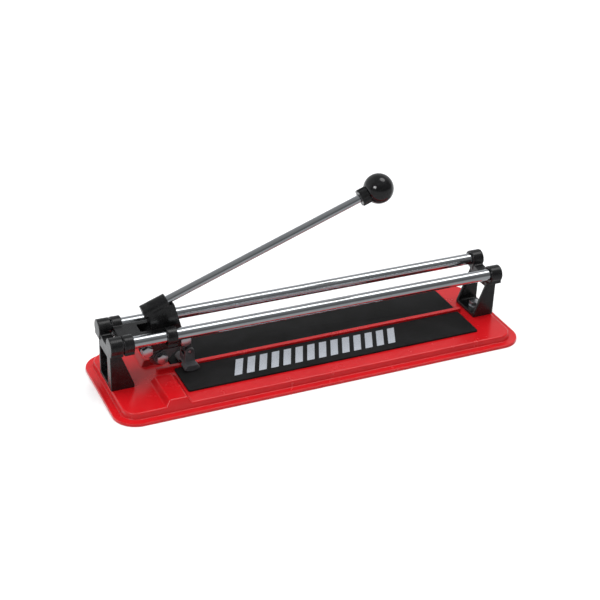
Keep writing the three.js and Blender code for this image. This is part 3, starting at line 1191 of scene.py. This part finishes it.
@dataclass
class TileBed(Assembly):
    """The two foam pads beside the ridge, the front one with a printed row of bars."""

    ends_x: tuple[float, float] = (-142.5, 177.5)
    inner: float = 2.9
    outer: float = 45.5
    corner: float = 2.0
    seat: float = 8.75
    thick: float = 2.0
    print_x: tuple[float, float] = (-92.0, 90.0)
    print_y: tuple[float, float] = (-36.5, -9.5)
    bars: int = 14

    def build(self) -> None:
        """Make both pads and the print."""
        for name, node, side in (
            ("front_bed_pad", "front_pad", -1),
            ("rear_bed_pad", "rear_pad", 1),
        ):
            pad = self.fit(self.pad(side), name, node, "frame", Slot.BED_RUBBER)
        self.place(self.printed_bars(), "pad_print_bars", "frame", ScreenInk())

    def pad(self, side: int) -> Solid:
        """Cut one pad from sheet, with round corners and a softened top edge."""
        near, far = sorted((side * self.inner, side * self.outer))
        left, right = self.ends_x
        top = self.seat + self.thick
        pad = Solid.block((left, near, self.seat + 0.02), (right, far, top))
        pad.rounded(self.corner, lambda edge: abs((edge.verts[0].co - edge.verts[1].co).z) > 1.0, 6)
        return pad.rounded(0.4, lambda edge: sharp(40.0)(edge) and middle(edge).z > top - 0.01, 3)

    def printed_bars(self) -> Solid:
        """Lay a row of slanted bars of ink on the front pad."""
        left, right = self.print_x
        low, high = self.print_y
        pitch = (right - left) / self.bars
        lean = (high - low) * 0.45
        top = self.seat + self.thick
        row = Solid()
        for index in range(self.bars):
            x = left + index * pitch
            width = pitch * 0.62
            row.with_shell(
                Solid.prism(
                    [(x, low), (x + width, low), (x + width + lean, high), (x + lean, high)],
                    Axis.Z,
                    top - 0.02,
                    top + 0.06,
                )
            )
        return row


# ------------------------------------------------------------------ rails and brackets
@dataclass
class GuideRails(Assembly):
    """Two chromed bars that the slide runs on."""

    radius: float = 6.0
    chamfer: float = 0.8

    def build(self) -> None:
        """Make both rails."""
        for name, node, side in (
            ("front_guide_rail", "front_rail", -1),
            ("rear_guide_rail", "rear_rail", 1),
        ):
            end = self.layout.rail_end
            start = Vector((-end, side * self.layout.rail.y, self.layout.rail.z))
            radius, small = self.radius, self.radius - self.chamfer
            rail = Solid.turned(
                [
                    (0.0, 0.0),
                    (small, 0.0),
                    (radius, self.chamfer),
                    (radius, 2 * end - self.chamfer),
                    (small, 2 * end),
                    (0.0, 2 * end),
                ],
                start,
                Vector((1, 0, 0)),
                96,
            )
            self.fit(rail, name, node, "frame", Slot.CHROME_BAR)


def housing(y: float, z: float, radius: float, low: float, high: float) -> Solid:
    """Make the D-shaped boss round one rail: round above and squared off below."""
    half = radius - 1.75
    return Solid.cylinder(Vector((low, y, z)), Vector((high, y, z)), radius, sides=72).joined(
        Solid.block((low, y - half, z - radius - 0.5), (high, y + half, z))
    )


@dataclass
class EndBracket(Assembly):
    """A cast bracket: two blind cups joined by a beam, two legs and a bolted floor."""

    side: int = -1
    outer: float = 211.25
    top: float = 200.5
    foot: float = 187.75
    half_width: float = 18.5
    wall: float = 3.5
    seat: float = 8.75
    floor: float = 3.5
    cup_outer: float = 212.5
    cup_inner: float = 200.0
    cup_radius: float = 8.75
    cup_floor: float = 1.9
    cup_bore: float = 6.3
    bolt_x: float = 199.5
    bolt_hole: float = 3.4

    def build(self) -> None:
        """Make this bracket as the left one, and mirror it if it is the right."""
        word = "left" if self.side < 0 else "right"
        casting = self.casting().cast(0.55, 3)
        if self.side > 0:
            casting.mirrored(Axis.X)
        name, node = f"{word}_end_bracket", f"{word}_bracket"
        self.fit(casting, name, node, "frame", Slot.BLACK_CASTING, SMOOTH)

    def casting(self) -> Solid:
        """Join and bore the left bracket."""
        y, z = self.layout.rail.y, self.layout.rail.z
        inside = self.half_width - self.wall
        leg = [
            (-self.outer, self.seat),
            (-self.foot - 1, self.seat),
            (-self.foot, self.seat + 1),
            (-self.foot, self.seat + 3.5),
            (-self.top, 47.0),
            (-self.top, 56.0),
            (-self.outer, 56.0),
        ]
        beam = [(-14, 42), (14, 42), (14, 58), (9, 55.25), (0, 54.25), (-9, 55.25), (-14, 58)]
        deep = self.cup_floor - self.cup_outer
        bores = [
            Solid.cylinder(Vector((deep, side * y, z)), Vector((-190, side * y, z)), self.cup_bore)
            for side in (-1, 1)
        ]
        bolt_low, bolt_high = Vector((-self.bolt_x, 0, 0)), Vector((-self.bolt_x, 0, 20))
        return (
            Solid.prism(beam, Axis.X, -self.outer, -self.top)
            .joined(
                housing(-y, z, self.cup_radius, -self.cup_outer, -self.cup_inner),
                housing(y, z, self.cup_radius, -self.cup_outer, -self.cup_inner),
                Solid.prism(leg, Axis.Y, -self.half_width, -inside),
                Solid.prism(leg, Axis.Y, inside, self.half_width),
                Solid.block((-self.outer, -inside - 0.5, self.seat), (-self.outer + 3, -8, 46)),
                Solid.block(
                    (-self.outer, -self.half_width, self.seat),
                    (-self.foot, self.half_width, self.seat + self.floor),
                ),
            )
            .cut(*bores, Solid.cylinder(bolt_low, bolt_high, self.bolt_hole))
        )


# ------------------------------------------------------------------ fasteners
@dataclass
class Fasteners(Assembly):
    """Hex bolts, nuts and washers, each turned and chamfered as bought ones are."""

    flats: float = 10.0
    head: float = 4.5
    shank: float = 3.0
    bore: float = 3.2
    pitch: float = 1.0
    thread_depth: float = 0.45

    def build(self) -> None:
        """Make every bolt, washer and nut."""
        up, back = Vector((0, 0, 1)), Vector((0, 1, 0))
        for side in ("left", "right"):
            self.bolt(f"{side}_bracket_bolt", f"{side}_hold_down_bolt", "frame", -up)
            self.washer(f"{side}_bracket_washer", f"{side}_hold_down_washer", "frame", up)
            self.nut(f"{side}_bracket_nut", f"{side}_hold_down_nut", "frame", -up)
        self.bolt("pivot_bolt", "lever_pivot_bolt", "carriage", back)
        self.washer("pivot_washer", "lever_pivot_washer", "carriage", -back)
        self.nut("pivot_nut", "lever_pivot_nut", "carriage", back)
        self.bolt("clamp_bolt", "lever_clamp_bolt", "lever", back)
        self.nut("clamp_nut", "lever_clamp_nut", "lever", back)
        self.bolt("wheel_axle_bolt", "scoring_wheel_axle", "lever", back)
        self.nut("wheel_axle_nut", "scoring_wheel_axle_nut", "lever", back)

    def span(self, node: str, direction: Vector) -> tuple[Vector, Vector]:
        """Return where a round node starts and ends along its axis.

        Args:
            node: The frame node.
            direction: Which way its axis points.

        Returns:
            The first and the last point of its axis.
        """
        low, high = (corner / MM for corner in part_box(node))
        centre = (low + high) / 2 - Vector((0, self.layout.plane_y, 0))
        half = direction * abs((high - low).dot(direction)) / 2
        return centre - half, centre + half

    def hexagon(self, start: Vector, end: Vector) -> Solid:
        """Make a hexagonal block with its far corners chamfered by turning."""
        corner = self.flats / math.sqrt(3)
        direction = (end - start).normalized()
        height = (end - start).length
        wide, small = corner + 0.3, self.flats * 0.47
        drop = (wide - small) * math.tan(math.radians(30))
        turned = Solid.turned(
            [(0, -0.1), (wide, -0.1), (wide, height - drop), (small, height), (0, height)],
            start,
            direction,
            72,
        )
        return Solid.cylinder(start, end, corner, sides=6).kept(turned)

    def threaded(self, start: Vector, end: Vector, length: float) -> Solid:
        """Make a shank whose last stretch has the grooves of a thread."""
        whole = (end - start).length
        outline = [(0.0, 0.0), (self.shank, 0.0), (self.shank, whole - length)]
        at = whole - length
        while at + self.pitch < whole:
            outline.append((self.shank - self.thread_depth, at + self.pitch / 2))
            outline.append((self.shank, at + self.pitch))
            at += self.pitch
        outline += [(self.shank - 0.6, whole), (0.0, whole)]
        return Solid.turned(outline, start, (end - start).normalized(), 40)

    def bolt(self, node: str, name: str, body: str, direction: Vector) -> None:
        """Make a bolt whose head is at the start of its axis."""
        start, end = self.span(node, direction)
        seat = start + direction * self.head
        made = self.hexagon(seat, start).rounded(0.12, sharp(40.0), 2)
        made.with_shell(self.threaded(seat - direction * 0.5, end, 8.0))
        self.fit(made, name, node, body, Slot.ZINC_STEEL)

    def nut(self, node: str, name: str, body: str, direction: Vector) -> None:
        """Make a nut with a chamfered far face and a countersunk bore."""
        start, end = self.span(node, direction)
        over = direction * 0.6
        made = self.hexagon(start, end).cut(
            Solid.cylinder(start - direction, end + direction, self.bore, sides=40),
            Solid.cylinder(end - over, end + over, self.bore, tip=self.bore + 1.2, sides=40),
        )
        self.fit(made, name, node, body, Slot.ZINC_STEEL)

    def washer(self, node: str, name: str, body: str, direction: Vector) -> None:
        """Make a flat washer with slightly rolled edges."""
        start, end = self.span(node, direction)
        thick = (end - start).length
        outline = [
            (self.bore + 0.2, 0.0),
            (5.8, 0.0),
            (6.0, 0.2),
            (6.0, thick - 0.2),
            (5.8, thick),
            (self.bore + 0.4, thick),
            (self.bore + 0.2, thick - 0.2),
            (self.bore + 0.2, 0.0),
        ]
        made = Solid.turned(outline, start, (end - start).normalized(), 64)
        self.fit(made, name, node, body, Slot.ZINC_STEEL)


# ------------------------------------------------------------------ carriage
@dataclass
class Slide(Assembly):
    """The cast slide: four sleeves on the rails, side strips, a plate and pivot ears."""

    left: float = -199.0
    right: float = -146.0
    sleeve: float = 10.0
    sleeve_radius: float = 8.75
    bore: float = 6.4
    plate: tuple[float, float] = (54.0, 62.0)
    slot_left: float = -176.75
    strip: tuple[float, float] = (7.4, 13.0)
    ear: tuple[float, float] = (7.4, 10.75)
    ear_radius: float = 5.25
    bolt_hole: float = 3.4

    def build(self) -> None:
        """Make the slide."""
        low, high = self.plate
        y, z = self.layout.rail.y, self.layout.rail.z
        pivot = self.layout.pivot
        casting = Solid.block((self.left, -13, low), (self.slot_left, 13, high))
        ear = [
            (pivot.x - 9, low + 2),
            (pivot.x - self.ear_radius, pivot.z),
            (pivot.x + self.ear_radius, pivot.z),
            (pivot.x + 11, low + 2),
        ]
        bores = []
        for side in (-1, 1):
            near, far = sorted((side * self.strip[0], side * self.strip[1]))
            ear_near, ear_far = sorted((side * self.ear[0], side * self.ear[1]))
            eye = (pivot + Vector((0, ear_near, 0)), pivot + Vector((0, ear_far, 0)))
            casting.joined(
                housing(side * y, z, self.sleeve_radius, self.left, self.left + self.sleeve),
                housing(side * y, z, self.sleeve_radius, self.right - self.sleeve, self.right),
                Solid.block((self.left, near, low), (self.right, far, high)),
                Solid.prism(ear, Axis.Y, ear_near, ear_far),
                Solid.cylinder(*eye, self.ear_radius),
            )
            bores.append(
                Solid.cylinder(
                    Vector((self.left - 1, side * y, z)),
                    Vector((self.right + 1, side * y, z)),
                    self.bore,
                )
            )
        reach = Vector((0, 12, 0))
        bores.append(Solid.cylinder(pivot - reach, pivot + reach, self.bolt_hole))
        casting.cut(*bores).cast(0.5, 3)
        self.fit(casting, "slide_casting", "slide_body", "carriage", Slot.BLACK_CASTING, SMOOTH)


# ------------------------------------------------------------------ lever
@dataclass
class Lever(Assembly):
    """The two lever castings with the scoring wheel, the breaking foot and its pin."""

    half_width: float = 7.0
    cheek: float = 4.3
    arm_web: float = 4.0
    arm_boss: float = 6.0
    gap: float = 0.3
    bolt_hole: float = 3.4
    socket: tuple[float, float] = (262.0, 236.0)
    socket_radius: float = 7.25
    bore_stop: float = 5.0
    pin_hole: float = 2.3
    rod_radius: float = 4.0
    wheel_radius: float = 11.0
    foot_reach: float = 17.5
    foot_half_width: float = 15.0

    def build(self) -> None:
        """Make the castings, the wheel, the foot and the pin."""
        upper = self.upper().cast(0.45, 3)
        lower = self.lower().cast(0.4, 3)
        foot = self.foot().cast(0.4, 3)
        black, grey = Slot.BLACK_CASTING, Slot.GREY_CASTING
        self.fit(upper, "handle_lever_casting", "handle_lever", "lever", black, SMOOTH)
        # The wheel arm and the foot take the lighter grey copy of the black casting, which is
        # painted light for the lit band along the arm's rib.
        self.fit(lower, "wheel_arm_casting", "wheel_arm", "lever", grey, SMOOTH)
        self.fit(foot, "breaking_foot_casting", "breaker_foot", "foot", grey, SMOOTH)
        wheel = self.wheel()
        self.fit(wheel, "carbide_scoring_wheel", "scoring_wheel", "wheel", Slot.CARBIDE, 20.0)
        self.fit(self.pin(), "breaking_foot_pin", "foot_pin", "lever", Slot.ZINC_STEEL)

    def hole(self, centre: Vector, radius: float) -> Solid:
        """Make a drill along Y through a point."""
        reach = Vector((0, 12, 0))
        return Solid.cylinder(centre - reach, centre + reach, radius, sides=48)

    def upper(self) -> Solid:
        """Join the socket, the neck and the two cheeks of the upper casting."""
        pivot, clamp = self.layout.pivot, self.layout.clamp
        half = self.half_width
        neck = [(-169, 78), (-165.5, 60), (-170.5, 53), (-134, 50), (-135.3, 58), (-142.5, 85)]
        bridge = [(-174, 48), (-170.5, 53.5), (-134, 53.5), (-129, 49), (-150, 44)]
        start, mouth = (self.layout.on_handle(distance) for distance in self.socket)
        bottom = self.layout.on_handle(self.socket[0] - self.bore_stop)
        beyond = self.layout.on_handle(self.socket[1] - 8)
        return (
            Solid.prism(neck, Axis.Y, -half, half)
            .joined(
                Solid.belt(pivot, clamp, 6, 6.5, half),
                Solid.prism(bridge, Axis.Y, -half, half),
            )
            .cut(
                Solid.block((-185, -self.cheek, 30), (-120, self.cheek, 51)),
                self.hole(pivot, self.bolt_hole),
                self.hole(clamp, self.bolt_hole),
            )
            .joined(Solid.cylinder(start, mouth, self.socket_radius))
            .cut(Solid.cylinder(bottom, beyond, self.rod_radius + self.gap))
        )

    def lower(self) -> Solid:
        """Join the webs of the lower casting and cut the wheel's slot."""
        pivot, axle = self.layout.pivot, self.layout.axle
        clamp, pin = self.layout.clamp, self.layout.pin
        web = self.arm_web
        rib_end = axle.lerp(clamp, 0.55)
        room = Solid.belt(pivot, clamp, 6 + self.gap, 6.5 + self.gap, 10).cut(
            Solid.block((-200, -web, 0), (-100, web, 90))
        )
        blade = Vector((0, 1.4, 0))
        return (
            Solid.belt(pivot, axle, 5.75, 7, web)
            .joined(
                Solid.belt(axle, clamp, 6.5, 6, web),
                Solid.belt(clamp, pin, 6, 4.5, web),
                Solid.belt(axle, rib_end, 7.25, 3.75, self.arm_boss),
            )
            .cut(
                room,
                Solid.cylinder(axle - blade, axle + blade, self.wheel_radius + 1.25),
                self.hole(pivot, self.bolt_hole),
                self.hole(axle, self.bolt_hole),
                self.hole(clamp, self.bolt_hole),
                self.hole(pin, self.pin_hole),
            )
        )

    def foot(self) -> Solid:
        """Make the breaking foot: an eye on the pin over a rocker sole."""
        pin = self.layout.pin
        half = self.foot_half_width
        sole_top = pin.z - self.foot_reach + 5
        wings = [
            (pin.x - 8, pin.z - 20),
            (pin.x + 8, pin.z - 20),
            (pin.x + 8, sole_top - 1.5),
            (pin.x + 5, sole_top + 2),
            (pin.x - 5, sole_top + 2),
            (pin.x - 8, sole_top - 1.5),
        ]
        low = Vector((pin.x, 0, sole_top))
        across, narrow, eye = Vector((0, half, 0)), Vector((0, 3.2, 0)), Vector((0, 4, 0))
        slot = Solid.cylinder(pin - narrow, pin + narrow, 30).cut(
            Solid.cylinder(pin - eye, pin + eye, 14.5)
        )
        return (
            Solid.prism(wings, Axis.Y, -half, half)
            .joined(Solid.belt(pin, low, 4.75, 5.5, 7.75))
            .kept(Solid.cylinder(pin - across, pin + across, self.foot_reach, sides=96))
            .cut(
                Solid.belt(pin, pin + Vector((0, 0, 12)), 6.5, 12, self.cheek),
                slot,
                self.hole(pin, self.pin_hole),
            )
        )

    def wheel(self) -> Solid:
        """Turn the scoring wheel with its bevelled rim."""
        outline = [
            (3.3, -1.0),
            (8.8, -1.0),
            (9.0, -0.95),
            (self.wheel_radius, 0.0),
            (9.0, 0.95),
            (8.8, 1.0),
            (3.3, 1.0),
            (3.3, -1.0),
        ]
        return Solid.turned(outline, self.layout.axle, Vector((0, 1, 0)), 96)

    def pin(self) -> Solid:
        """Turn the foot's pin with its two peened ends."""
        outline = [(0, -7), (1.5, -7), (2, -6.6), (2, 6.6), (1.5, 7), (0, 7)]
        return Solid.turned(outline, self.layout.pin, Vector((0, 1, 0)), 40)


@dataclass
class Handle(Assembly):
    """The chromed rod with its fluted collar and ball knob."""

    rod_radius: float = 4.0
    rod_span: tuple[float, float] = (256.7, 6.0)
    bore_bottom: float = -6.3  # how far the rod enters the ball, from its centre
    bore: float = 4.3
    collar: tuple[float, float] = (21.5, 12.5)
    collar_radius: float = 8.75
    flutes: int = 9
    flute_radius: float = 2.3
    flute_depth: float = 1.3

    def build(self) -> None:
        """Make the rod, the collar and the knob."""
        self.fit(self.rod(), "handle_bar", "handle_rod", "lever", Slot.CHROME_BAR)
        self.fit(
            self.grip_collar(), "fluted_collar", "knob_collar", "lever", Slot.BLACK_PHENOLIC, 60.0
        )
        self.fit(self.ball(), "ball_grip", "ball_knob", "lever", Slot.BLACK_PHENOLIC)

    def rod(self) -> Solid:
        """Turn the rod with its chamfered end."""
        start = self.layout.on_handle(self.rod_span[0])
        length = self.rod_span[0] - self.rod_span[1]
        radius = self.rod_radius
        outline = [(0, 0), (radius - 0.5, 0), (radius, 0.5), (radius, length), (0, length)]
        return Solid.turned(outline, start, self.layout.handle, 64)

    def grip_collar(self) -> Solid:
        """Flute a short round bar all round and bore it for the rod."""
        start, end = (self.layout.on_handle(distance) for distance in self.collar)
        along = (end - start).normalized()
        over = along * 2
        aside = along.cross(Vector((0, 1, 0))).normalized()
        reach = self.collar_radius - self.flute_depth + self.flute_radius
        cutters = [
            Solid.cylinder(start - over + offset, end + over + offset, self.flute_radius, sides=32)
            for offset in (
                Matrix.Rotation(math.tau * index / self.flutes, 3, along) @ aside * reach
                for index in range(self.flutes)
            )
        ]
        collar = Solid.cylinder(start, end, self.collar_radius, sides=96).cut(*cutters)
        return collar.cut(
            Solid.cylinder(start - over, end + over, self.rod_radius + 0.3)
        ).cast(0.3, 3)

    def ball(self) -> Solid:
        """Turn the ball with a flat seat towards the collar and a bore for the rod."""
        seat = -(self.collar[1] - 0.3)
        first = math.acos(seat / KNOB_RADIUS)
        outline = [(0.0, self.bore_bottom), (self.bore, self.bore_bottom), (self.bore, seat)]
        outline += [
            (KNOB_RADIUS * math.sin(turn), KNOB_RADIUS * math.cos(turn))
            for turn in (first * (1 - step / 48) for step in range(49))
        ]
        return Solid.turned(outline, self.layout.knob, self.layout.handle, 96)


# ------------------------------------------------------------------ studio
@dataclass
class Studio:
    """A plain pale floor, soft lights and the camera."""

    focal_mm: float = 82.54
    place: tuple[float, float, float] = (-0.5196353, -1.0810801, 0.7353064)
    azimuth: float = -25.2255
    elevation: float = 29.3566
    roll: float = 2.289
    cool: tuple[float, float] = (0.97, 0.985)  # red and green of the room's light, against blue
    front_room: tuple[tuple[float, float], ...] = (
        (0.0, 0.4),
        (0.47, 0.4),
        (0.53, 0.13),
        (0.75, 0.13),
        (0.92, 0.25),
    )
    back_room: tuple[tuple[float, float], ...] = (
        (0.0, 1.1),
        (0.46, 1.1),
        (0.53, 0.55),
        (0.7, 0.5),
        (0.92, 0.3),
    )

    def build(self) -> None:
        """Make the floor, the lights and the camera."""
        self.floor()
        self.lights()
        self.camera()
        view = bpy.context.scene.view_settings
        view.view_transform = "Standard"
        view.look = "None"

    def floor(self) -> None:
        """Lay a large pale floor just under the object."""
        shape = bmesh.new()
        bmesh.ops.create_grid(shape, x_segments=1, y_segments=1, size=12.0)
        bmesh.ops.translate(shape, verts=shape.verts, vec=(0, 0, -0.0002))
        mesh = bpy.data.meshes.new("studio_floor")
        shape.to_mesh(mesh)
        shape.free()
        paper = bpy.data.materials.new("matt_white_paper")
        paper.use_nodes = True
        tree = paper.node_tree
        shader = tree.nodes["Principled BSDF"]
        place = add_node(tree, "TexCoord").outputs["Object"]
        fibre = add_node(tree, "TexNoise", {"Vector": place, "Scale": per_mm(400.0)})
        tone = add_node(
            tree,
            "Mix",
            {0: fibre.outputs[0], 6: linear("#f4f4f4"), 7: linear("#f7f7f7")},
            data_type="RGBA",
        )
        tree.links.new(tone.outputs[2], shader.inputs["Base Color"])
        shader.inputs["Roughness"].default_value = 0.95
        shader.inputs["Specular IOR Level"].default_value = 0.0
        mesh.materials.append(paper)
        floor = bpy.data.objects.new("studio_floor", mesh)
        floor.visible_glossy = False
        bpy.context.scene.collection.objects.link(floor)

    def lights(self) -> None:
        """Light the object from a broad diffuser above and a small softbox at the left."""
        self.room()
        self.diffuser("overhead_diffuser", 0.53, 30.0, (0.0, 22.0), True)
        self.diffuser("fill_bounce", 2.75, 90.0, (-4.0, 6.0), False)
        self.softbox("left_softbox", (-1.5, -0.9, 1.15), 9.0, (0.7, 0.5))

    def room(self) -> None:
        """Paint the room round the set: dim in front, with a pale wall at the back."""
        world = bpy.data.worlds.new("studio_room")
        world.use_nodes = True
        tree = world.node_tree
        side = add_node(tree, "TexCoord").outputs["Generated"]
        parts = add_node(tree, "SeparateXYZ", {"Vector": side}).outputs
        share = add_node(
            tree, "MapRange", {"Value": parts["Z"], "From Min": -1.0, "From Max": 1.0}
        ).outputs[0]
        back = add_node(
            tree, "MapRange", {"Value": parts["Y"], "From Min": -0.15, "From Max": 0.35}
        ).outputs[0]
        wall = add_node(
            tree,
            "Mix",
            {
                0: back,
                6: self.bands(tree, share, self.front_room),
                7: self.bands(tree, share, self.back_room),
            },
            data_type="RGBA",
        )
        tree.links.new(wall.outputs[2], tree.nodes["Background"].inputs["Color"])
        bpy.context.scene.world = world

    def bands(
        self,
        tree: bpy.types.NodeTree,
        share: bpy.types.NodeSocket,
        stops: Sequence[tuple[float, float]],
    ) -> bpy.types.NodeSocket:
        """Shade one side of the room from the floor (0) to the ceiling (1).

        Args:
            tree: The world's node tree.
            share: The height, from 0 to 1.
            stops: (height, brightness) pairs.

        Returns:
            The colour.
        """
        ramp = add_node(tree, "ValToRGB", {"Fac": share})
        marks = ramp.color_ramp.elements
        while len(marks) < len(stops):
            marks.new(0.5)
        for mark, (at, level) in zip(marks, stops):
            mark.position = at
            red, green = (level * share_of for share_of in self.cool)
            mark.color = (red, green, level, 1.0)
        return ramp.outputs["Color"]

    def diffuser(
        self, name: str, power: float, spread: float, lean: tuple[float, float], mirrored: bool
    ) -> None:
        """Hang a broad even light a long way above.

        Args:
            name: Name of the light.
            power: Its strength in watts per square metre.
            spread: How wide it looks from the object, in degrees.
            lean: How far it leans to the front and to the right, in degrees.
            mirrored: Whether bright metal shows it.
        """
        light = bpy.data.lights.new(name, "SUN")
        light.energy = power
        light.angle = math.radians(spread)
        lamp = bpy.data.objects.new(name, light)
        lamp.rotation_euler = (math.radians(lean[0]), math.radians(lean[1]), 0)
        lamp.visible_glossy = mirrored
        bpy.context.scene.collection.objects.link(lamp)

    def softbox(
        self, name: str, place: tuple[float, float, float], power: float, size: tuple[float, float]
    ) -> None:
        """Hang a rectangular light that faces the object.

        Args:
            name: Name of the light.
            place: Its centre in metres.
            power: Its power in watts.
            size: Its width and height in metres.
        """
        light = bpy.data.lights.new(name, "AREA")
        light.shape = "RECTANGLE"
        light.size, light.size_y = size
        light.energy = power
        lamp = bpy.data.objects.new(name, light)
        aim = Vector((0, 0, 0.05)) - Vector(place)
        turn = aim.to_track_quat("-Z", "Y").to_matrix().to_4x4()
        lamp.matrix_world = Matrix.Translation(place) @ turn
        bpy.context.scene.collection.objects.link(lamp)

    def camera(self) -> None:
        """Set up the camera from its place, direction and roll."""
        turn, rise, roll = (math.radians(x) for x in (self.azimuth, self.elevation, self.roll))
        back = Vector(
            (math.sin(turn) * math.cos(rise), -math.cos(turn) * math.cos(rise), math.sin(rise))
        )
        right = Vector((math.cos(turn), math.sin(turn), 0))
        up = back.cross(right)
        across = right * math.cos(roll) + up * math.sin(roll)
        upright = up * math.cos(roll) - right * math.sin(roll)
        lens = bpy.data.cameras.new("studio_camera")
        lens.sensor_width = 36.0
        lens.lens = self.focal_mm
        lens.clip_start = 0.05
        lens.clip_end = 50.0
        camera = bpy.data.objects.new("studio_camera", lens)
        camera.matrix_world = Matrix.Translation(self.place) @ Matrix(
            (across, upright, back)
        ).transposed().to_4x4()
        bpy.context.scene.collection.objects.link(camera)
        bpy.context.scene.camera = camera


def main() -> None:
    """Build the studio, then every piece round the frame."""
    logging.basicConfig(level=logging.INFO, format="%(name)s: %(message)s")
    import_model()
    layout = Layout.from_frame()
    Studio().build()
    for group in (
        PressedBase(layout),
        TileBed(layout),
        GuideRails(layout),
        EndBracket(layout, side=-1),
        EndBracket(layout, side=1),
        Fasteners(layout),
        Slide(layout),
        Lever(layout),
        Handle(layout),
    ):
        group.build()


if __name__ == "__main__":
    main()
